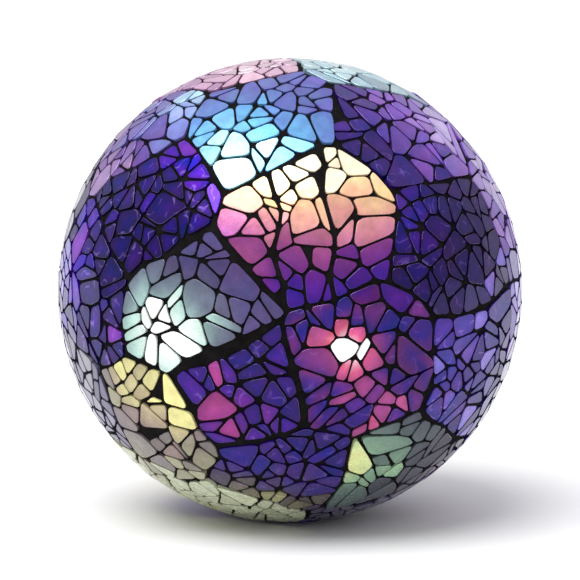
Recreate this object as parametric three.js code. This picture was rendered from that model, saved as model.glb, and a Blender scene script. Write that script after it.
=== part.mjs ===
// A decorative mosaic sphere, in millimetres, +Z up, standing on a small flat spot at the origin.
// Sheets of crackled, film-backed glass are laid as tiles on a ball of black grout. Each sheet is a
// mosaic of flat chips, and the grout comes up between the sheets nearly to the glass.

import * as THREE from "three";

// Driving dimensions
const ballDiameter = 100; // across the glass, over the middles of two opposite chips
const glassThickness = 2;
const seamWidth = 1.4; // from the glass of one sheet to the glass of the next
const groutRecess = 0.3; // how far the grout in the seams lies below the glass
const beddingGap = 0.25; // clearance between a sheet and the grout, below it and round it
const footDiameter = 16; // flat spot that keeps the ball from rolling
const chipSize = 5.2; // side of a square with the area of a mean chip

// How the chips vary, and how finely curved faces are cut into flat ones
const stepsPerSide = 3; // steps along each side of a seam
const chipStray = 3.2; // most that a chip's middle strays from an even spread, along each axis
const chipMargin = 1.8; // nearest that a chip's middle comes to the edge of its sheet
const chipLean = 1.5; // most that a chip leans out of line with the ball, in degrees
const bedSpread = 0.6; // where the bed's outer facets touch, from a sheet's middle to its corners
const weldDistance = 0.02;
const randomSeed = 7;

const glassRadius = ballDiameter / 2;
const groutRadius = glassRadius - groutRecess;
const sheetUndersideRadius = glassRadius - glassThickness;
const bedRadius = sheetUndersideRadius - beddingGap;
const footDepth = Math.sqrt(glassRadius ** 2 - (footDiameter / 2) ** 2); // below the ball's centre
const sheetSetback = seamWidth / 2; // from the middle of a seam to the glass
const bedSetback = sheetSetback - beddingGap; // from the middle of a seam to the side of its rib of grout

// What each colour of glass looks like from the front
const glassColours = {
  sky: 0x8fcdea,
  periwinkle: 0x7c7fc0,
  peach: 0xf0b9a0,
  pearl: 0xbfd8d6,
  rose: 0xd9a4bd,
  ice: 0xc3d6de,
  lavender: 0x8b62bb,
  violet: 0x3d0f95,
  indigo: 0x2b1470,
  plum: 0x5f1f85,
  magenta: 0x8e2f86,
  green: 0x8aa88e,
  olive: 0xaba68a,
  slate: 0x6f677f,
};

// The sheets of one half of the ball: the colour there, the colour of its twin half a turn round
// behind, then the place of its middle, in degrees round to the right from the front and above the
// equator.
const sheetPairs = [
  ["sky", "violet", -13, 53],
  ["peach", "lavender", 5, 26],
  ["violet", "sky", -42, 29],
  ["violet", "indigo", -63, 4],
  ["pearl", "magenta", -25, 2],
  ["olive", "plum", -39, -30],
  ["magenta", "pearl", 17, -13],
  ["plum", "violet", -13, -20],
  ["indigo", "green", -4, -41],
  ["green", "olive", 38, -43],
  ["violet", "peach", 56, -15],
  ["indigo", "violet", 49, 19],
  ["lavender", "rose", 47, 47],
  ["rose", "ice", -84, 74],
  ["periwinkle", "lavender", -64, 48],
  ["slate", "periwinkle", -73, -25],
  ["lavender", "slate", 84, 22],
  ["indigo", "violet", 86, -12],
  ["olive", "indigo", -36, -66],
  ["slate", "violet", 56, -68],
  ["olive", "plum", -82, -50],
];
const footSheetColour = "indigo";

// A unit vector from the ball's centre, the front being towards -Y
function direction(azimuth, elevation) {
  const [turn, rise] = [azimuth, elevation].map(THREE.MathUtils.degToRad);
  return new THREE.Vector3(
    Math.sin(turn) * Math.cos(rise),
    -Math.cos(turn) * Math.cos(rise),
    Math.sin(rise),
  );
}

// Every sheet as its name, colour and middle. The last one lies under the ball and holds the foot.
function layOutSheets() {
  const placed = sheetPairs.flatMap(([front, back, azimuth, elevation]) => [
    { colour: front, middle: direction(azimuth, elevation) },
    { colour: back, middle: direction(azimuth + 180, elevation) },
  ]);
  placed.push({ colour: footSheetColour, middle: new THREE.Vector3(0, 0, -1) });
  const laid = {};
  return placed.map((sheet) => {
    laid[sheet.colour] = (laid[sheet.colour] ?? 0) + 1;
    return { ...sheet, name: `${sheet.colour}_glass_sheet_${laid[sheet.colour]}` };
  });
}

// A repeatable random number from 0 to 1 for each call
function makeRandom(seed) {
  let state = seed;
  return () => {
    state = (Math.imul(state, 1664525) + 1013904223) >>> 0;
    return state / 2 ** 32;
  };
}

// Directions spread evenly over the ball in a spiral, one for each chip's middle, then each moved a
// little, with how much the chip leans
function spreadChips() {
  const random = makeRandom(randomSeed);
  const scatter = (most) =>
    new THREE.Vector3(random(), random(), random()).subScalar(0.5).multiplyScalar(2 * most);
  const mostLean = Math.tan(THREE.MathUtils.degToRad(chipLean));
  const count = Math.round((4 * Math.PI * glassRadius ** 2) / chipSize ** 2);
  const goldenTurn = Math.PI * (3 - Math.sqrt(5));
  return Array.from({ length: count }, (_, i) => {
    const height = 1 - (2 * i + 1) / count;
    const reach = Math.sqrt(1 - height ** 2);
    const even = new THREE.Vector3(
      reach * Math.cos(i * goldenTurn),
      reach * Math.sin(i * goldenTurn),
      height,
    );
    const middle = even.add(scatter(chipStray / glassRadius)).normalize();
    return { middle, lean: scatter(mostLean) };
  });
}

// The part of a convex polygon on the side that a plane's normal points to
function clip(polygon, plane) {
  const kept = [];
  polygon.forEach((point, i) => {
    const next = polygon[(i + 1) % polygon.length];
    const here = plane.distanceToPoint(point);
    const there = plane.distanceToPoint(next);
    if (here >= 0) kept.push(point);
    if (here >= 0 !== there >= 0) kept.push(point.clone().lerp(next, here / (here - there)));
  });
  return kept;
}

// Two unit vectors square to a direction, with which it makes a right-handed set
function sideways(normal) {
  const guide = Math.abs(normal.z) < 0.9 ? new THREE.Vector3(0, 0, 1) : new THREE.Vector3(1, 0, 0);
  const across = guide.cross(normal).normalize();
  return [across, normal.clone().cross(across)];
}

// The facets of a convex shell round the ball's centre, each as a polygon that is anticlockwise from
// outside. A facet is { normal, distance }, and walls cut the shell down to one sheet's cell.
function shellFacets(facets, walls) {
  const duals = facets.map(({ normal, distance }) => normal.clone().divideScalar(distance));
  return facets
    .map(({ normal, distance }, i) => {
      const [across, up] = sideways(normal);
      const middle = normal.clone().multiplyScalar(distance);
      let polygon = [[-1, -1], [1, -1], [1, 1], [-1, 1]].map(([x, y]) =>
        middle.clone().addScaledVector(across, x * distance).addScaledVector(up, y * distance),
      );
      duals.forEach((dual, j) => {
        if (j !== i) polygon = clip(polygon, new THREE.Plane(duals[i].clone().sub(dual), 0));
      });
      walls.forEach((wall) => (polygon = clip(polygon, wall)));
      return polygon;
    })
    .filter((polygon) => polygon.length > 2);
}

// The planes that bound a sheet's cell on the ball, moved in from the middle of the seams
function cellWalls(sheet, sheets, setback) {
  return sheets
    .filter((other) => other !== sheet)
    .map((other) => {
      const inward = sheet.middle.clone().sub(other.middle).normalize();
      return new THREE.Plane(inward, -setback);
    });
}

// The corners of a sheet's cell, as points at a given distance from the ball's centre
function cellCorners(sheet, sheets, setback, radius) {
  const facet = { normal: sheet.middle, distance: radius };
  const [polygon] = shellFacets([facet], cellWalls(sheet, sheets, setback));
  return polygon.map((corner) => corner.setLength(radius));
}

// The same outline as a ring of points that follows the ball between the corners
function cellRing(sheet, sheets, setback, radius) {
  const corners = cellCorners(sheet, sheets, setback, radius);
  return corners.flatMap((corner, i) => {
    const next = corners[(i + 1) % corners.length];
    return Array.from({ length: stepsPerSide }, (_, step) =>
      corner.clone().lerp(next, step / stepsPerSide).setLength(radius),
    );
  });
}

// A closed surface in the making: points closer than weldDistance become one
class Surface {
  points = [];
  triangles = [];

  indexOf(point) {
    const found = this.points.findIndex((known) => known.distanceTo(point) < weldDistance);
    return found < 0 ? this.points.push(point) - 1 : found;
  }

  // Adds convex polygons, and gives back the corners of those that are still polygons once welded
  add(polygons) {
    return polygons.flatMap((polygon) => {
      const corners = polygon.map((point) => this.indexOf(point));
      const kept = corners.filter((corner, i) => corner !== corners.at(i - 1));
      if (kept.length < 3) return [];
      for (let i = 2; i < kept.length; i++) this.triangles.push([kept[0], kept[i - 1], kept[i]]);
      return [kept];
    });
  }

  // The open edge round a patch that add() gave back, in the patch's own direction
  rim(patch) {
    const after = new Map();
    const edges = patch.flatMap((corners) =>
      corners.map((from, i) => [from, corners[(i + 1) % corners.length]]),
    );
    const known = new Set(edges.map(String));
    edges.forEach(([from, to]) => {
      if (!known.has(String([to, from]))) after.set(from, to);
    });
    const ring = [after.keys().next().value];
    while (after.get(ring.at(-1)) !== ring[0]) ring.push(after.get(ring.at(-1)));
    return ring.map((corner) => this.points[corner]);
  }

  geometry() {
    const corners = this.triangles.flat().flatMap((corner) => this.points[corner].toArray());
    const geometry = new THREE.BufferGeometry();
    geometry.setAttribute("position", new THREE.Float32BufferAttribute(corners, 3));
    geometry.computeVertexNormals();
    return geometry;
  }
}

// Triangles that join two rings, both anticlockwise round a sheet's middle. Seen from outside the
// ball, they face up where the first ring is the outer one.
function stitch(outerRing, innerRing, sheet) {
  const [across, up] = sideways(sheet.middle);
  const angled = (ring) => {
    const turns = ring.map((point) => ({ point, angle: Math.atan2(point.dot(up), point.dot(across)) }));
    const sorted = turns.sort((a, b) => a.angle - b.angle);
    return [...sorted, { point: sorted[0].point, angle: sorted[0].angle + 2 * Math.PI }];
  };
  const outer = angled(outerRing);
  const inner = angled(innerRing);
  const triangles = [];
  let [i, j] = [0, 0];
  while (i < outer.length - 1 || j < inner.length - 1) {
    const outerIsNext =
      j === inner.length - 1 || (i < outer.length - 1 && outer[i + 1].angle < inner[j + 1].angle);
    if (outerIsNext) triangles.push([outer[i].point, outer[++i].point, inner[j].point]);
    else triangles.push([outer[i].point, inner[j + 1].point, inner[j++].point]);
  }
  return triangles;
}

// The few flat facets that a sheet is bedded on, at a given distance from the ball's centre
function bedFacets(sheet, sheets, radius) {
  const outer = cellCorners(sheet, sheets, 0, 1).map((corner) =>
    sheet.middle.clone().lerp(corner, bedSpread).normalize(),
  );
  return [sheet.middle, ...outer].map((normal) => ({ normal, distance: radius }));
}

// The sheet that a direction from the ball's centre falls in
function nearestSheet(direction, sheets) {
  return sheets.reduce((best, sheet) =>
    sheet.middle.dot(direction) > best.middle.dot(direction) ? sheet : best,
  );
}

// A chip's face, which passes through its middle on the ball. The middle is first moved away from any
// edge of the sheet that it lies too near.
function chipFacet(chip, walls) {
  const middle = chip.middle.clone().multiplyScalar(glassRadius);
  walls.forEach((wall) => {
    const shortfall = chipMargin - wall.distanceToPoint(middle);
    middle.addScaledVector(wall.normal, Math.max(shortfall, 0));
  });
  middle.setLength(glassRadius);
  const normal = middle.clone().normalize().add(chip.lean).normalize();
  return { normal, distance: normal.dot(middle) };
}

// One sheet of crackled glass: its chips are flat facets, and the foot is one more facet
function sheetGeometry(sheet, sheets, chips) {
  const walls = cellWalls(sheet, sheets, sheetSetback);
  const own = chips.filter((chip) => nearestSheet(chip.middle, sheets) === sheet);
  const chipFacets = own.map((chip) => chipFacet(chip, walls));
  const foot = { normal: new THREE.Vector3(0, 0, -1), distance: footDepth };
  const surface = new Surface();
  const face = surface.add(shellFacets([...chipFacets, foot], walls));
  const underside = shellFacets(bedFacets(sheet, sheets, sheetUndersideRadius), walls);
  const back = surface.add(underside.map((polygon) => polygon.reverse()));
  surface.add(stitch(surface.rim(back).reverse(), surface.rim(face), sheet));
  return surface.geometry();
}

// The ball of grout: for each sheet, half of the seam round it, the wall of its bed and the bed
function groutGeometry(sheets) {
  const surface = new Surface();
  sheets.forEach((sheet) => {
    const walls = cellWalls(sheet, sheets, bedSetback);
    const seam = cellRing(sheet, sheets, 0, groutRadius);
    const bedEdge = cellRing(sheet, sheets, bedSetback, groutRadius);
    const bed = surface.add(shellFacets(bedFacets(sheet, sheets, bedRadius), walls));
    surface.add(stitch(seam, bedEdge, sheet));
    surface.add(stitch(bedEdge, surface.rim(bed), sheet));
  });
  return surface.geometry();
}

const sheets = layOutSheets();
const chips = spreadChips();

const ball = new THREE.Group();
ball.position.z = footDepth;

const groutMaterial = new THREE.MeshStandardMaterial({ color: 0x17151a, roughness: 0.85, metalness: 0 });
const groutBall = new THREE.Mesh(groutGeometry(sheets), groutMaterial);
groutBall.name = "grout_ball";
ball.add(groutBall);

const glassMaterials = Object.fromEntries(
  Object.entries(glassColours).map(([name, color]) => [
    name,
    new THREE.MeshStandardMaterial({ color, roughness: 0.12, metalness: 0.25 }),
  ]),
);
sheets.forEach((sheet) => {
  const mesh = new THREE.Mesh(sheetGeometry(sheet, sheets, chips), glassMaterials[sheet.colour]);
  mesh.name = sheet.name;
  ball.add(mesh);
});

const mosaicSphere = new THREE.Group();
mosaicSphere.add(ball);

export default mosaicSphere;
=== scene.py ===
import math
import random

import bmesh
import bpy
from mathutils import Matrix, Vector
from mathutils.noise import noise_vector, seed_set


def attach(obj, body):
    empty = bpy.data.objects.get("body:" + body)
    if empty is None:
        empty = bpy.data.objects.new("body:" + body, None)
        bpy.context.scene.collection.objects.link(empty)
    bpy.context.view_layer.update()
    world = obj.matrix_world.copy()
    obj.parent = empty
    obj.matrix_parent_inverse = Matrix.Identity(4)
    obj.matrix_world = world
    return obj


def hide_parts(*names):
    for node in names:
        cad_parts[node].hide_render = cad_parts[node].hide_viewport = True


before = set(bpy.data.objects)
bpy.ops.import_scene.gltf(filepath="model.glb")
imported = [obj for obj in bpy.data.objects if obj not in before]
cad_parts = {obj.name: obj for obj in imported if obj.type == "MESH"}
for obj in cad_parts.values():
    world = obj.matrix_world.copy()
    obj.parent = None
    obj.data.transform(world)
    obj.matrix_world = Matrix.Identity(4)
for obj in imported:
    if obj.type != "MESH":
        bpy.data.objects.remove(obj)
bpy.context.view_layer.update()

# Camera
# It looks at the ball from a little above its middle, as the photo does, through a long lens. The
# ball takes up most of the frame's width.
BALL_RADIUS = 0.05
FOOT_RADIUS = 0.008
CAMERA_DISTANCE = 0.9
CAMERA_RISE = math.radians(8)
BALL_SHARE_OF_FRAME = 0.8

ball_centre = Vector((0, 0, math.sqrt(BALL_RADIUS**2 - FOOT_RADIUS**2)))
towards_camera = Vector((0, -math.cos(CAMERA_RISE), math.sin(CAMERA_RISE)))
bpy.ops.object.camera_add(
    location=ball_centre + towards_camera * CAMERA_DISTANCE,
    rotation=(math.pi / 2 - CAMERA_RISE, 0, 0),
)
camera = bpy.context.object
ball_half_angle = math.asin(BALL_RADIUS / CAMERA_DISTANCE)
camera.data.angle = 2 * math.atan(math.tan(ball_half_angle) / BALL_SHARE_OF_FRAME)
bpy.context.scene.camera = camera

# Grout ball
# The ball is coated with black sanded grout, which is pressed in round every chip of glass and wiped
# off a little below the glass. It is matt and grainy, with a few dustier places.
GROUT_DEPTH = 0.00042  # below the glass
GROUT_GRAIN_HEIGHT = 0.00012
GROUT_GRAIN_SIZE = 0.0011
FOOT_GROUT_HEIGHT = 0.0004  # above what the ball stands on
CUT_TOLERANCE = 0.0000001
DARK_GROUT = (0.003, 0.0026, 0.003, 1)
DUSTY_GROUT = (0.011, 0.0095, 0.0098, 1)
DUST_PATCH_SIZE = 0.0035
GROUT_ROUGHNESS = (0.72, 0.95)
ROUGHNESS_PATCH_SIZE = 0.0008
SAND_SIZE = 0.00035
SAND_HEIGHT = 0.00015

bpy.ops.object.select_all(action="DESELECT")
bpy.ops.mesh.primitive_ico_sphere_add(
    subdivisions=7, radius=BALL_RADIUS - GROUT_DEPTH, location=ball_centre
)
grout = bpy.context.object
grout.name = "grout_of_the_ball"
bpy.ops.object.transform_apply(location=True, rotation=True, scale=True)

grain = bpy.data.textures.new("grout_grain", "CLOUDS")
grain.noise_scale = GROUT_GRAIN_SIZE
grain.noise_depth = 2
grain_relief = grout.modifiers.new("grain", "DISPLACE")
grain_relief.texture = grain
grain_relief.strength = GROUT_GRAIN_HEIGHT
bpy.ops.object.modifier_apply(modifier=grain_relief.name)

bpy.ops.object.mode_set(mode="EDIT")
bpy.ops.mesh.select_all(action="SELECT")
bpy.ops.mesh.bisect(
    plane_co=(0, 0, FOOT_GROUT_HEIGHT), plane_no=(0, 0, 1),
    use_fill=True, clear_inner=True, threshold=CUT_TOLERANCE,
)
bpy.ops.object.mode_set(mode="OBJECT")
bpy.ops.object.shade_smooth()


def plain_material(name):
    """A new material, its node tree and its Principled shader."""
    material = bpy.data.materials.new(name)
    material.use_nodes = True
    tree = material.node_tree
    return material, tree, tree.nodes["Principled BSDF"]


def grain_noise(tree, size, detail=2.0, roughness=0.5):
    """A noise pattern whose grains are about that size, in metres, fixed to the piece."""
    place = tree.nodes.new("ShaderNodeTexCoord")
    noise = tree.nodes.new("ShaderNodeTexNoise")
    noise.inputs["Scale"].default_value = 1 / size
    noise.inputs["Detail"].default_value = detail
    noise.inputs["Roughness"].default_value = roughness
    tree.links.new(place.outputs["Object"], noise.inputs["Vector"])
    return noise.outputs["Fac"]


def spread(tree, pattern, low, high, start=0.3, end=0.7):
    """The pattern's values from start to end, laid out from low to high."""
    span = tree.nodes.new("ShaderNodeMapRange")
    span.inputs["From Min"].default_value = start
    span.inputs["From Max"].default_value = end
    span.inputs["To Min"].default_value = low
    span.inputs["To Max"].default_value = high
    tree.links.new(pattern, span.inputs["Value"])
    return span.outputs["Result"]


grout_material, tree, shader = plain_material("black_sanded_grout")
dust = tree.nodes.new("ShaderNodeValToRGB")
dust.color_ramp.elements[0].position = 0.35
dust.color_ramp.elements[0].color = DARK_GROUT
dust.color_ramp.elements[1].position = 0.75
dust.color_ramp.elements[1].color = DUSTY_GROUT
tree.links.new(grain_noise(tree, DUST_PATCH_SIZE, detail=6, roughness=0.7), dust.inputs["Fac"])
tree.links.new(dust.outputs["Color"], shader.inputs["Base Color"])
tree.links.new(
    spread(tree, grain_noise(tree, ROUGHNESS_PATCH_SIZE), *GROUT_ROUGHNESS),
    shader.inputs["Roughness"],
)
sand = tree.nodes.new("ShaderNodeBump")
sand.inputs["Strength"].default_value = 0.5
sand.inputs["Distance"].default_value = SAND_HEIGHT
tree.links.new(grain_noise(tree, SAND_SIZE, detail=4), sand.inputs["Height"])
tree.links.new(sand.outputs["Normal"], shader.inputs["Normal"])
shader.inputs["Specular IOR Level"].default_value = 0.06
grout.data.materials.append(grout_material)
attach(grout, "root")
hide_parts("grout_ball")

# Sky-blue glass
# A tile of toughened glass with a coloured film on its back, crackled so that it falls into chips.
# They stay together on a net, are glued to the ball, and the grout fills the cracks. The film has a
# painted white highlight and turns through cyan to steel blue.
GLASS_DEPTH = 0.0015  # of a chip, most of it sunk in the grout
FACE_DISTANCE = 0.049  # from the ball's centre: the chips' faces alone lie further out
WELD = 0.00001
FLAT_ANGLE = math.radians(0.25)
CRACK_WANDER = 0.0005
CRACK = 0.00034  # the narrowest
WIDE_CRACK = 0.0005  # and its chips' own cracks besides
WIDE_CRACK_PULL = 0.0014  # chips' corners that are nearer to it than this lie on it
SEAM_WANDER = 0.0028  # of the whole net, so that seams and cracks don't run straight
SEAM_WANDER_LENGTH = 0.009
SEAM_SEED = 5
LEAST_CHIP_WIDTH = 0.0017  # a narrower splinter falls out, and grout fills its place
LEAST_CORNER = math.radians(25)
LARGE_CHIP = 20e-6  # square metres, above which a chip often breaks again
NEAR_CHIP = 0.003
SHORTEST_EDGE = 0.0009
CORNER_ROUNDING = 25  # per cent of each edge
LEAST_CHIP = 0.3e-6  # square metres
EDGE_CHAMFER = 0.00008
PLANAR_ROUNDS = 20
BREAK_SLANT = 0.2  # of a chip that breaks again, to either side
BREAK_OFFSET = 0.1  # of the chip's reach, past its middle
LEAST_CHIP_SIZE = 0.93  # of what its cracks leave it
CORNER_SEGMENTS = 3
UPPER_FACE = 0.9  # cosine of its lean, at least
SMOOTH_ANGLE = math.radians(25)

seed_set(SEAM_SEED)


def select_chips(piece, wanted):
    """Selects the faces of the piece, in edit mode, that pass the test."""
    bpy.ops.mesh.select_all(action="DESELECT")
    form = bmesh.from_edit_mesh(piece.data)
    for face in form.faces:
        if wanted(face):
            face.select_set(True)
    bmesh.update_edit_mesh(piece.data)


def select_chip_at(piece, place):
    """Selects the one face of the piece whose middle is nearest to a place."""
    bpy.ops.mesh.select_all(action="DESELECT")
    form = bmesh.from_edit_mesh(piece.data)
    nearest = min(form.faces, key=lambda face: (face.calc_center_median() - place).length_squared)
    nearest.select_set(True)
    bmesh.update_edit_mesh(piece.data)


def direction(azimuth, elevation):
    """A unit vector from the ball's centre, in degrees round to the right of the front and up."""
    turn, rise = math.radians(azimuth), math.radians(elevation)
    return Vector(
        (math.sin(turn) * math.cos(rise), -math.cos(turn) * math.cos(rise), math.sin(rise))
    )


def lift_sheet(node, name, overhang, wide_cracks, dice):
    """A copy of a sheet's outside, in edit mode: a loose flat polygon for each of its chips."""
    chips = bpy.data.objects.new(name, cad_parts[node].data.copy())
    chips.data.materials.clear()
    bpy.context.collection.objects.link(chips)
    bpy.ops.object.select_all(action="DESELECT")
    bpy.context.view_layer.objects.active = chips
    chips.select_set(True)
    bpy.ops.mesh.customdata_custom_splitnormals_clear()
    bpy.ops.object.mode_set(mode="EDIT")
    bpy.ops.mesh.select_mode(type="FACE")
    bpy.ops.mesh.select_all(action="SELECT")
    bpy.ops.mesh.remove_doubles(threshold=WELD)
    bpy.ops.mesh.dissolve_limited(angle_limit=FLAT_ANGLE)
    select_chips(
        chips,
        lambda face: (face.calc_center_median() - ball_centre).dot(face.normal) < FACE_DISTANCE,
    )
    bpy.ops.mesh.delete(type="FACE")
    bpy.ops.mesh.select_all(action="SELECT")
    bpy.ops.mesh.dissolve_degenerate(threshold=SHORTEST_EDGE)
    places = [vert.co.copy() for vert in bmesh.from_edit_mesh(chips.data).verts]
    sheet_middle = sum(places, Vector()) / len(places)
    bpy.ops.mesh.select_all(action="SELECT")
    bpy.ops.transform.vertex_random(
        offset=CRACK_WANDER, uniform=0, normal=0, seed=dice.randrange(10000)
    )
    form = bmesh.from_edit_mesh(chips.data)
    for vert, place in zip(form.verts, places):
        if vert.is_boundary:
            vert.co = place + (place - sheet_middle).normalized() * dice.uniform(*overhang)
        outwards = (vert.co - ball_centre).normalized()
        vert.co = ball_centre + outwards * (place - ball_centre).length
    bmesh.update_edit_mesh(chips.data)
    bpy.ops.mesh.select_mode(type="FACE")
    for start, end in wide_cracks:
        across = direction(*start).cross(direction(*end)).normalized()
        for vert in bmesh.from_edit_mesh(chips.data).verts:
            aside = (vert.co - ball_centre).dot(across)
            if abs(aside) < WIDE_CRACK_PULL:
                vert.co -= across * aside
        for side in (-WIDE_CRACK / 2, WIDE_CRACK / 2):
            bpy.ops.mesh.select_all(action="SELECT")
            bpy.ops.mesh.bisect(plane_co=ball_centre + across * side, plane_no=across)
        select_chips(
            chips,
            lambda face: abs((face.calc_center_median() - ball_centre).dot(across)) < WIDE_CRACK / 2,
        )
        bpy.ops.mesh.delete(type="FACE")
    form = bmesh.from_edit_mesh(chips.data)
    for vert in form.verts:
        away = vert.co - ball_centre
        drift = noise_vector(vert.co / SEAM_WANDER_LENGTH) * SEAM_WANDER
        if vert.co.z > FOOT_GROUT_HEIGHT:
            vert.co = ball_centre + (away + drift).normalized() * away.length
        vert.co.z = max(vert.co.z, 0)
    bmesh.update_edit_mesh(chips.data)
    bpy.ops.mesh.select_all(action="SELECT")
    bpy.ops.mesh.edge_split(type="EDGE")
    bpy.ops.mesh.select_all(action="SELECT")
    bpy.ops.mesh.face_make_planar(factor=1, repeat=PLANAR_ROUNDS)
    return chips


def break_large_chips(chips, broken, whole, dice):
    """Breaks a share of the large chips in two, across their length. Some are left whole."""
    large = []
    for face in bmesh.from_edit_mesh(chips.data).faces:
        middle = face.calc_center_median()
        kept = any(
            (middle - ball_centre).angle(direction(*place)) * BALL_RADIUS < NEAR_CHIP
            for place in whole
        )
        if face.calc_area() > LARGE_CHIP and dice.random() < broken and not kept:
            reaches = [vert.co - middle for vert in face.verts]
            longest = max(reaches, key=lambda reach: reach.length)
            large.append((middle, face.normal.copy(), longest))
    for middle, normal, reach in large:
        along = reach.normalized()
        slant = normal.cross(along) * dice.uniform(-BREAK_SLANT, BREAK_SLANT)
        select_chip_at(chips, middle)
        place = middle - reach * dice.uniform(0, BREAK_OFFSET)
        bpy.ops.mesh.bisect(plane_co=place, plane_no=along + slant)
    bpy.ops.mesh.select_all(action="SELECT")
    bpy.ops.mesh.edge_split(type="EDGE")


def open_cracks(chips, dice):
    """Draws every chip in from its cracks, some more than others."""
    select_chips(
        chips,
        lambda face: 4 * face.calc_area() < LEAST_CHIP_WIDTH * face.calc_perimeter()
        or min(corner.calc_angle() for corner in face.loops) < LEAST_CORNER,
    )
    bpy.ops.mesh.delete(type="FACE")
    bpy.ops.mesh.select_all(action="SELECT")
    bpy.ops.mesh.inset(thickness=CRACK / 2, use_individual=True)
    bpy.ops.mesh.select_all(action="INVERT")
    bpy.ops.mesh.delete(type="FACE")
    middles = [face.calc_center_median() for face in bmesh.from_edit_mesh(chips.data).faces]
    for middle in middles:
        select_chip_at(chips, middle)
        size = dice.uniform(LEAST_CHIP_SIZE, 1)
        bpy.ops.transform.resize(value=[size] * 3, center_override=middle)


def round_corners(chips):
    """Takes the points off the chips."""
    bpy.ops.mesh.select_all(action="SELECT")
    bpy.ops.mesh.dissolve_degenerate(threshold=SHORTEST_EDGE)
    bpy.ops.mesh.select_mode(type="VERT")
    bpy.ops.mesh.select_all(action="SELECT")
    bpy.ops.mesh.bevel(
        offset_type="PERCENT", offset_pct=CORNER_ROUNDING, segments=CORNER_SEGMENTS,
        affect="VERTICES",
    )
    bpy.ops.mesh.select_mode(type="FACE")
    select_chips(chips, lambda face: face.calc_area() < LEAST_CHIP)
    bpy.ops.mesh.delete(type="FACE")
    bpy.ops.mesh.select_all(action="SELECT")
    bpy.ops.mesh.delete_loose()


def thicken_chips(chips):
    """Gives every chip its thickness and its worn upper edge, and leaves edit mode."""
    bpy.ops.object.mode_set(mode="OBJECT")
    number = chips.data.attributes.new("chip", "INT", "FACE")
    number.data.foreach_set("value", range(len(chips.data.polygons)))
    thickness = chips.modifiers.new("thickness", "SOLIDIFY")
    thickness.thickness = GLASS_DEPTH
    thickness.offset = -1
    bpy.ops.object.modifier_apply(modifier=thickness.name)
    bpy.ops.object.mode_set(mode="EDIT")
    select_chips(
        chips,
        lambda face: (face.calc_center_median() - ball_centre).normalized().dot(face.normal)
        > UPPER_FACE,
    )
    bpy.ops.transform.shrink_fatten(value=-EDGE_CHAMFER)
    bpy.ops.mesh.inset(thickness=EDGE_CHAMFER, depth=EDGE_CHAMFER, use_individual=True)
    bpy.ops.mesh.poke()
    bpy.ops.object.mode_set(mode="OBJECT")
    bpy.ops.object.shade_smooth_by_angle(angle=SMOOTH_ANGLE)


def linear(colour):
    """A colour from 0 to 255 on screen, as light."""
    shares = [part / 255 for part in colour]
    return [s / 12.92 if s <= 0.04045 else ((s + 0.055) / 1.055) ** 2.4 for s in shares]


def film_colour(film_and_painted_light, turn):
    """The colour at a turn from 0, the film's painted highlight, to 1, the film's last colour."""
    place = min(max(turn, 0), 0.9999) * (len(film_and_painted_light) - 1)
    step = int(place)
    before, after = linear(film_and_painted_light[step]), linear(film_and_painted_light[step + 1])
    return [a + (b - a) * (place - step) for a, b in zip(before, after)]


GRADIENT_IN_CHIP = 0.5  # of the film's change across one chip
# LIT_EDGE is the colour of a painted highlight along a chip's worn edge.
LIT_EDGE = (196, 160, 232)
CHAMFER_LEAN = (0.4, 0.9)  # cosines between which a face belongs to a chip's worn edge
CHIP_BRIGHTNESS = (0.8, 1.05)
HALF_WIDTH = 0.35  # of a chip, as a share of its area's square root


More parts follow.
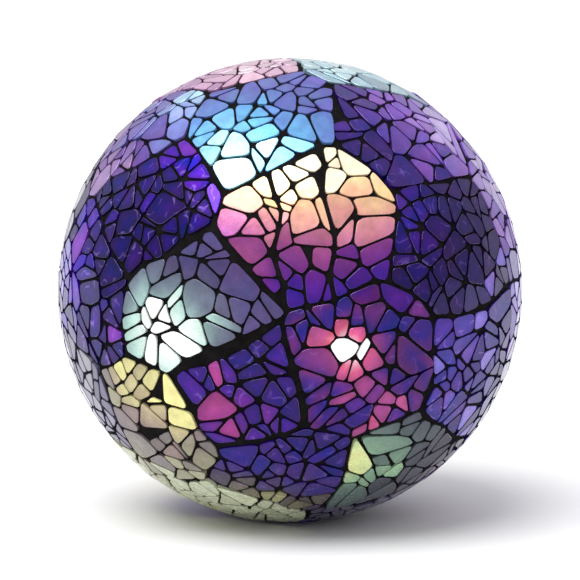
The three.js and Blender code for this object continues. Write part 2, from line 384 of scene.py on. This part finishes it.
def paint_film(chips, film_and_painted_light, painted_highlights, reach, mottle, painted_glints, painted_rim_shade, lit_edges, dice):
    """Colours the chips by how far they lie, in metres, from the nearest of the film's painted
    highlights. A highlight is its direction, its radius and, where it is a dull one, the turn that
    it starts from. A few chips get a painted glint, as if they lay askew. A chip has painted shade
    towards its rim, and a painted highlight along some of its edges."""
    mesh = chips.data
    # Each spot is a painted highlight, where the film is painted as reflecting the light.
    spots = [(direction(*highlight[:2]), highlight[2], sum(highlight[3:])) for highlight in painted_highlights]

    def turn_at(place):
        away = place - ball_centre
        return min(
            max((away.angle(spot) * BALL_RADIUS - near) / reach, start)
            for spot, near, start in spots
        )

    numbers = [value.value for value in mesh.attributes["chip"].data]
    mesh.attributes.remove(mesh.attributes["chip"])
    largest = {}
    for polygon, number in zip(mesh.polygons, numbers):
        if number not in largest or polygon.area > largest[number].area:
            largest[number] = polygon
    odds = {}
    for number in sorted(largest):
        middle_turn = turn_at(largest[number].center) + dice.gauss(0, mottle)
        # Painted glint: a few chips take the highlight colour, as if they lay askew and caught the
        # light.
        if dice.random() < painted_glints:
            middle_turn = 0
        lit_side = Vector([dice.gauss(0, 1) for _ in "xyz"]).normalized()
        true_turn = turn_at(largest[number].center)
        odds[number] = (middle_turn, true_turn, dice.uniform(*CHIP_BRIGHTNESS), lit_side)
    colours = mesh.color_attributes.new("film_and_painted_light", "FLOAT_COLOR", "CORNER")
    for polygon, number in zip(mesh.polygons, numbers):
        middle_turn, true_turn, bright, lit_side = odds[number]
        outwards = (largest[number].center - ball_centre).normalized()
        half_width = HALF_WIDTH * math.sqrt(largest[number].area)
        lit = 0
        # Painted highlight along the worn edge, on the side that faces a random direction.
        if CHAMFER_LEAN[0] < polygon.normal.dot(outwards) < CHAMFER_LEAN[1]:
            lit = lit_edges * max(polygon.normal.dot(lit_side), 0)
        for corner in polygon.loop_indices:
            place = mesh.vertices[mesh.loops[corner].vertex_index].co
            turn = middle_turn + (turn_at(place) - true_turn) * GRADIENT_IN_CHIP
            from_middle = (place - ball_centre).cross(outwards).length / half_width
            colour = film_colour(film_and_painted_light, turn)
            # Painted shade: each chip darkens towards its rim, the more so the darker its colour.
            shade = bright * (1 - painted_rim_shade * (1 - max(colour)) * min(from_middle, 1))
            colour = [min(part * shade, 1) for part in colour]
            colour = [dark + (pale - dark) * lit for dark, pale in zip(colour, linear(LIT_EDGE))]
            colours.data[corner].color = colour + [1]


HUE_PATCH_SIZE = 0.005
DEPTH_PATCH_SIZE = 0.0022
SPLIT_SPACING = 0.004
SPLIT_PATCH_SIZE = 0.0022
# Painted highlight: the pale colour of the streaks along the splits in the glass.
SPLIT_HIGHLIGHT_COLOUR = (0.42, 0.24, 0.8, 1)
GLOSS_PATCH_SIZE = 0.0012
CRINKLE_SIZE = 0.0015
CRINKLE_HEIGHT = 0.0001


def film_glass(name, split_highlights=0.0):
    """Clear glossy glass over a coloured, slightly crinkled film; its fine splits are painted
    highlight streaks.
    """
    material, tree, shader = plain_material(name)
    film_and_painted_light = tree.nodes.new("ShaderNodeAttribute")
    film_and_painted_light.attribute_name = "film_and_painted_light"
    depth = tree.nodes.new("ShaderNodeHueSaturation")
    tree.links.new(film_and_painted_light.outputs["Color"], depth.inputs["Color"])
    tree.links.new(
        spread(tree, grain_noise(tree, HUE_PATCH_SIZE, detail=2), 0.482, 0.518),
        depth.inputs["Hue"],
    )
    tree.links.new(
        spread(tree, grain_noise(tree, DEPTH_PATCH_SIZE, detail=3), 0.86, 1.12),
        depth.inputs["Value"],
    )
    colour = depth.outputs["Color"]
    # Painted highlight streaks along fine splits in the glass.
    if split_highlights:
        wave = tree.nodes.new("ShaderNodeMath")
        wave.operation = "SUBTRACT"
        wave.inputs[1].default_value = 0.5
        tree.links.new(grain_noise(tree, SPLIT_SPACING, detail=1), wave.inputs[0])
        crest = tree.nodes.new("ShaderNodeMath")
        crest.operation = "ABSOLUTE"
        tree.links.new(wave.outputs["Value"], crest.inputs[0])
        line = spread(tree, crest.outputs["Value"], split_highlights, 0, 0.0, 0.03)
        seen = spread(tree, grain_noise(tree, SPLIT_PATCH_SIZE, detail=2), 0, 1, 0.48, 0.66)
        both = tree.nodes.new("ShaderNodeMath")
        both.operation = "MULTIPLY"
        tree.links.new(line, both.inputs[0])
        tree.links.new(seen, both.inputs[1])
        split = tree.nodes.new("ShaderNodeMix")
        split.data_type = "RGBA"
        split.inputs["B"].default_value = SPLIT_HIGHLIGHT_COLOUR
        tree.links.new(both.outputs["Value"], split.inputs["Factor"])
        tree.links.new(colour, split.inputs["A"])
        colour = split.outputs["Result"]
    tree.links.new(colour, shader.inputs["Base Color"])
    tree.links.new(
        spread(tree, grain_noise(tree, GLOSS_PATCH_SIZE, detail=3), 0.16, 0.34),
        shader.inputs["Roughness"],
    )
    crinkle = tree.nodes.new("ShaderNodeBump")
    crinkle.inputs["Strength"].default_value = 0.35
    crinkle.inputs["Distance"].default_value = CRINKLE_HEIGHT
    tree.links.new(grain_noise(tree, CRINKLE_SIZE, detail=3), crinkle.inputs["Height"])
    tree.links.new(crinkle.outputs["Normal"], shader.inputs["Normal"])
    shader.inputs["Metallic"].default_value = 0.35
    shader.inputs["Specular IOR Level"].default_value = 0.1
    shader.inputs["Coat Weight"].default_value = 0.6
    shader.inputs["Coat Roughness"].default_value = 0.03
    shader.inputs["Coat IOR"].default_value = 1.35
    return material


RAGGED_OVERHANG = (0.0004, 0.0009)  # of a sheet's rim, past its solid


def lay_sheet(
    node, material, film_and_painted_light, painted_highlights, reach,
    mottle=0.08, painted_glints=0.02, painted_rim_shade=0.2, lit_edges=0.1, broken=0.75, whole=(),
    overhang=RAGGED_OVERHANG, wide_cracks=(),
):
    """Makes one sheet of crackled glass where its solid is, and gives it its film, with painted
    highlights and shade.
    """
    dice = random.Random(node)
    chips = lift_sheet(node, node.replace("sheet", "chips"), overhang, wide_cracks, dice)
    break_large_chips(chips, broken, whole, dice)
    open_cracks(chips, dice)
    round_corners(chips)
    thicken_chips(chips)
    paint_film(chips, film_and_painted_light, painted_highlights, reach, mottle, painted_glints, painted_rim_shade, lit_edges, dice)
    chips.data.materials.append(material)
    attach(chips, "root")
    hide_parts(node)


sky_glass = film_glass("sky_blue_film_glass")
sky_film = [
    (255, 255, 255), (184, 242, 252), (128, 204, 242), (104, 172, 224), (98, 132, 200),
    (96, 100, 178),
]
sky_highlights = {"sky_glass_sheet_1": [(-19, 39, -0.001)], "sky_glass_sheet_2": [(150, 38, 0.002)]}
for node, painted_highlights in sky_highlights.items():
    lay_sheet(
        node, sky_glass, sky_film, painted_highlights,
        reach=0.024, mottle=0.08, painted_glints=0, whole=[(-20, 38), (-18, 44), (148, 38)],
    )

# Peach glass
# Crackled tiles like the sky-blue ones, glued on their net and grouted. The film here has a painted
# cream highlight and turns through peach and pink to magenta and deep indigo, so one tile holds
# nearly the whole range. Two wider cracks run down the front one.
peach_glass = film_glass("peach_film_glass")
peach_film = [
    (255, 240, 208), (254, 228, 180), (248, 204, 152), (230, 166, 150), (204, 126, 150),
    (160, 74, 138), (112, 40, 134), (72, 24, 146), (56, 20, 138),
]
lay_sheet(
    "peach_glass_sheet_1", peach_glass, peach_film,
    [(8, 60, 0.0215), (-12, 15, -0.0105, 0.56)],
    reach=0.0245, mottle=0.05, painted_glints=0, broken=0.3,
    wide_cracks=[((-6, 38), (-3.5, 18)), ((9, 38), (11, 16))],
)
lay_sheet(
    "peach_glass_sheet_2", peach_glass, peach_film, [(-130, 20, 0.0)],
    reach=0.028, mottle=0.06, painted_glints=0, broken=0.35,
)

# Pearl glass
# Crackled tiles again, laid with ragged edges. The film has a painted pure white highlight in the
# middle and falls off quickly through mint to a slaty lavender.
pearl_glass = film_glass("pearl_film_glass")
pearl_film = [
    (255, 255, 252), (240, 252, 244), (180, 218, 208), (112, 124, 140), (100, 98, 130),
    (84, 72, 124),
]
pearl_highlights = {
    "pearl_glass_sheet_1": [(-31, -4, 0.003)],
    "pearl_glass_sheet_2": [(192, -8, 0.003)],
}
for node, painted_highlights in pearl_highlights.items():
    lay_sheet(
        node, pearl_glass, pearl_film, painted_highlights,
        reach=0.015, painted_glints=0, broken=0.5, overhang=(-0.0008, 0.0009),
    )

# Olive glass
# Crackled tiles low on the ball, on the left and behind. The film has a painted lemon highlight,
# then is taupe and grey, and turns to a pale cream green.
olive_glass = film_glass("olive_film_glass")
olive_film = [
    (250, 244, 165), (212, 202, 146), (150, 128, 122), (132, 122, 124), (152, 148, 122),
    (192, 192, 160), (216, 222, 190),
]
olive_highlights = {
    "olive_glass_sheet_1": [(-36, -17, 0.001)],
    "olive_glass_sheet_2": [(215, -40, 0.004)],
    "olive_glass_sheet_3": [(-40, -16, 0.0)],
    "olive_glass_sheet_4": [(-40, -20, 0.0)],
}
for node, painted_highlights in olive_highlights.items():
    lay_sheet(node, olive_glass, olive_film, painted_highlights, reach=0.030, mottle=0.1, painted_glints=0.02)

# Magenta glass
# Crackled tiles of glass with fine splits in it, painted as pale highlight streaks. The film has a
# painted white highlight with a hot pink ring, and wanders between indigo, violet and pink.
magenta_glass = film_glass("magenta_film_glass", split_highlights=0.15)
magenta_film = [
    (255, 252, 252), (226, 90, 128), (178, 76, 142), (158, 60, 134), (56, 14, 146), (28, 3, 128),
    (112, 30, 124), (40, 6, 136), (142, 44, 130), (28, 2, 120), (96, 24, 126),
]
lay_sheet(
    "magenta_glass_sheet_1", magenta_glass, magenta_film, [(150, 4, 0.002)],
    reach=0.015, mottle=0.1, painted_glints=0, painted_rim_shade=0.5, lit_edges=0.15, whole=[(150, 4)],
)
lay_sheet(
    "magenta_glass_sheet_2", magenta_glass, magenta_film,
    [
        (14, -6, 0.0022), (21, -23, 0.0024, 0.33), (6, -7, -0.001, 0.28), (30, 6, 0.0, 0.5),
    ],
    reach=0.015, mottle=0.1, painted_glints=0, painted_rim_shade=0.5, lit_edges=0.15, whole=[(14, -6)],
)

# Plum glass
# Crackled tiles with ragged edges, set between the brighter ones. The film is purple, with a little
# pink painted on as a highlight where it catches the light.
plum_glass = film_glass("plum_film_glass", split_highlights=0.25)
plum_film = [(184, 66, 150), (134, 38, 146), (90, 22, 152), (60, 8, 152), (46, 4, 126)]
plum_highlights = {
    "plum_glass_sheet_1": [(142, -30, 0.0)],
    "plum_glass_sheet_2": [(-14, -26, -0.005)],
    "plum_glass_sheet_3": [(98, -50, 0.0)],
}
for node, painted_highlights in plum_highlights.items():
    lay_sheet(
        node, plum_glass, plum_film, painted_highlights,
        reach=0.020, mottle=0.2, painted_rim_shade=0.6, lit_edges=0.2, overhang=(-0.0006, 0.0009),
    )

# Violet glass
# Crackled tiles of the colour that the ball has most of. The film is deep violet, with a painted
# highlight, and the glass over it is full of splits, painted as paler highlight streaks.
violet_glass = film_glass("violet_film_glass", split_highlights=0.4)
violet_film = [(130, 48, 200), (88, 8, 204), (68, 0, 194), (56, 0, 172), (40, 0, 132)]
violet_highlights = {
    "violet_glass_sheet_1": [(170, 50, 0.0)],
    "violet_glass_sheet_2": [(-26, 44, -0.005)],
    "violet_glass_sheet_3": [(-70, 10, -0.008)],
    "violet_glass_sheet_4": [(168, -20, -0.006)],
    "violet_glass_sheet_6": [(230, 20, -0.006)],
    "violet_glass_sheet_7": [(260, -12, -0.004)],
    "violet_glass_sheet_8": [(236, -60, -0.004)],
}
for node, painted_highlights in violet_highlights.items():
    lay_sheet(
        node, violet_glass, violet_film, painted_highlights,
        reach=0.022, mottle=0.28, painted_glints=0.02, painted_rim_shade=0.9, lit_edges=0.15,
    )

# Violet glass, the bluer tile on the right
# The same crackled glass, glued on and grouted as the others are, with a bluer film, which has a
# painted periwinkle highlight.
blue_violet_film = [(136, 116, 214), (82, 58, 170), (64, 38, 154), (50, 22, 138), (38, 10, 112)]
lay_sheet(
    "violet_glass_sheet_5", violet_glass, blue_violet_film,
    [(43, -7, -0.004), (42, -23, -0.004)], reach=0.022, mottle=0.16, painted_glints=0.06,
    painted_rim_shade=0.5, lit_edges=0.15,
)

# Indigo glass
# Crackled tiles with the darkest film, nearly black between its painted highlights. A chip here
# and there has a painted periwinkle glint, as if it lay askew. The sixth tile is the one that the
# ball stands on.
indigo_glass = film_glass("indigo_film_glass", split_highlights=0.2)
indigo_film = [
    (128, 108, 208), (80, 40, 166), (62, 20, 152), (50, 8, 136), (42, 6, 116), (42, 12, 104),
]
indigo_highlights = {
    "indigo_glass_sheet_1": [(120, 6, 0.0)],
    "indigo_glass_sheet_3": [(29, 27, -0.010)],
    "indigo_glass_sheet_4": [(76, 0, 0.0)],
    "indigo_glass_sheet_5": [(146, -60, 0.0)],
    "indigo_glass_sheet_6": [(0, -90, 0.0)],
}
for node, painted_highlights in indigo_highlights.items():
    lay_sheet(
        node, indigo_glass, indigo_film, painted_highlights,
        reach=0.026, mottle=0.12, painted_glints=0.03, painted_rim_shade=0.6, lit_edges=0.15,
    )

# Indigo glass, the tile under the front
# A crackled tile of the same glass, low on the ball. Its film turns from indigo to a dull olive down
# towards the foot.
olive_indigo_film = [
    (182, 178, 126), (134, 126, 104), (90, 74, 100), (60, 30, 130), (48, 10, 136), (42, 6, 120),
]
lay_sheet(
    "indigo_glass_sheet_2", indigo_glass, olive_indigo_film, [(-16, -60, 0.004)],
    reach=0.022, mottle=0.12, painted_glints=0, painted_rim_shade=0.4, lit_edges=0.15,
)

# Lavender glass
# Crackled tiles high on the ball, on the right and behind. The film is purple and pales to lilac
# towards its painted highlight.
lavender_glass = film_glass("lavender_film_glass", split_highlights=0.2)
lavender_film = [
    (206, 188, 236), (164, 130, 216), (128, 82, 192), (88, 48, 160), (60, 28, 132), (52, 22, 118),
]
lavender_highlights = {
    "lavender_glass_sheet_1": [(190, 40, 0.0)],
    "lavender_glass_sheet_2": [(74, 47, 0.002)],
    "lavender_glass_sheet_3": [(110, 50, 0.0)],
    "lavender_glass_sheet_4": [(73, 29, 0.002)],
}
for node, painted_highlights in lavender_highlights.items():
    lay_sheet(
        node, lavender_glass, lavender_film, painted_highlights,
        reach=0.028, mottle=0.12, painted_glints=0, painted_rim_shade=0.4, lit_edges=0.15,
    )

# Rose glass
# Crackled tiles at the top and on the shoulder behind, glued and grouted as the others are. The film
# is a pale pink.
rose_glass = film_glass("rose_film_glass")
rose_film = [(234, 208, 224), (220, 180, 204), (200, 152, 190), (174, 128, 178)]
rose_highlights = {"rose_glass_sheet_1": [(226, 48, 0.0)], "rose_glass_sheet_2": [(-70, 84, 0.0)]}
for node, painted_highlights in rose_highlights.items():
    lay_sheet(node, rose_glass, rose_film, painted_highlights, reach=0.024, mottle=0.14)

# Ice glass
# One crackled tile beside the rose one at the top, glued and grouted as the others are. Its film is a
# pale blue-grey.
ice_glass = film_glass("ice_film_glass")
ice_film = [(218, 234, 240), (190, 218, 228), (162, 194, 210), (126, 152, 180)]
lay_sheet(
    "ice_glass_sheet_1", ice_glass, ice_film, [(90, 78, 0.0)], reach=0.024, mottle=0.14
)

# Periwinkle glass
# Crackled tiles on the ball's upper left and right side. The film is blue and wanders to purple and,
# at the edge, to a dusty pink.
periwinkle_glass = film_glass("periwinkle_film_glass", split_highlights=0.15)
periwinkle_film = [(172, 204, 240), (126, 144, 214), (104, 92, 180), (96, 62, 152), (160, 128, 182)]
periwinkle_highlights = {
    "periwinkle_glass_sheet_1": [(-50, 62, 0.0)],
    "periwinkle_glass_sheet_2": [(110, -22, 0.0)],
}
for node, painted_highlights in periwinkle_highlights.items():
    lay_sheet(
        node, periwinkle_glass, periwinkle_film, painted_highlights, reach=0.028, mottle=0.14
    )

# Green glass
# Crackled tiles low on the ball, in front and behind. The film is sea-green with a painted lemon
# highlight, and greys towards the underside.
green_glass = film_glass("green_film_glass")
green_film = [
    (230, 234, 160), (172, 214, 170), (132, 168, 142), (104, 124, 118), (76, 80, 92), (66, 62, 80),
]
green_highlights = {
    "green_glass_sheet_1": [(180, -38, 0.0)],
    "green_glass_sheet_2": [(16, -40, 0.0), (32, -40, -0.006)],
}
for node, painted_highlights in green_highlights.items():
    lay_sheet(node, green_glass, green_film, painted_highlights, reach=0.022, mottle=0.1)

# Slate glass
# Crackled tiles on the left side and underneath, with fine splits in the glass. The film is a
# grey-violet.
slate_glass = film_glass("slate_film_glass", split_highlights=0.1)
slate_film = [(146, 144, 158), (114, 108, 134), (88, 80, 112), (66, 58, 90), (56, 48, 78)]
slate_highlights = {
    "slate_glass_sheet_1": [(-66, -20, 0.0)],
    "slate_glass_sheet_2": [(262, 22, 0.0)],
    "slate_glass_sheet_3": [(56, -62, 0.0)],
}
for node, painted_highlights in slate_highlights.items():
    lay_sheet(node, slate_glass, slate_film, painted_highlights, reach=0.024, mottle=0.16)

# Floor
# A pale matt table top, painted and without a sheen, that the ball stands on. Nothing else is on it.
FLOOR_HALF_WIDTH = 4.0
TABLE_COLOUR = (0.86, 0.86, 0.87, 1)

bpy.ops.object.select_all(action="DESELECT")
bpy.ops.mesh.primitive_plane_add(size=2 * FLOOR_HALF_WIDTH, location=(0, 0, 0))
floor = bpy.context.object
floor.name = "floor"
bpy.ops.object.transform_apply(location=True, rotation=True, scale=True)
floor_material, tree, shader = plain_material("pale_table")
shader.inputs["Base Color"].default_value = TABLE_COLOUR
shader.inputs["Roughness"].default_value = 0.9
shader.inputs["Specular IOR Level"].default_value = 0.1
floor.data.materials.append(floor_material)

# Lights
# A white room, brighter overhead than at the walls, with one soft light high on the left, in front.
WALL_LIGHT = 0.62
CEILING_LIGHT = 0.95
WALLS_TO_CEILING = (0.3, 0.75)  # heights, as the sine of the rise from the ball
SOFT_LIGHT_PLACE = (-42, 64)  # degrees round from the front, and up
SOFT_LIGHT_STRENGTH = 2.6
SOFT_LIGHT_WIDTH = math.radians(45)

world = bpy.data.worlds.new("white_room")
bpy.context.scene.world = world
world.use_nodes = True
tree = world.node_tree
ways = tree.nodes.new("ShaderNodeTexCoord")
height = tree.nodes.new("ShaderNodeSeparateXYZ")
tree.links.new(ways.outputs["Generated"], height.inputs["Vector"])
walls_to_ceiling = spread(
    tree, height.outputs["Z"], WALL_LIGHT, CEILING_LIGHT, *WALLS_TO_CEILING
)
tree.links.new(walls_to_ceiling, tree.nodes["Background"].inputs["Strength"])
tree.nodes["Background"].inputs["Color"].default_value = (1, 1, 1, 1)

bpy.ops.object.light_add(
    type="SUN", rotation=direction(*SOFT_LIGHT_PLACE).to_track_quat("Z", "Y").to_euler()
)
soft_light = bpy.context.object
soft_light.name = "soft_light"
soft_light.data.energy = SOFT_LIGHT_STRENGTH
soft_light.data.angle = SOFT_LIGHT_WIDTH

bpy.context.scene.view_settings.view_transform = "Standard"
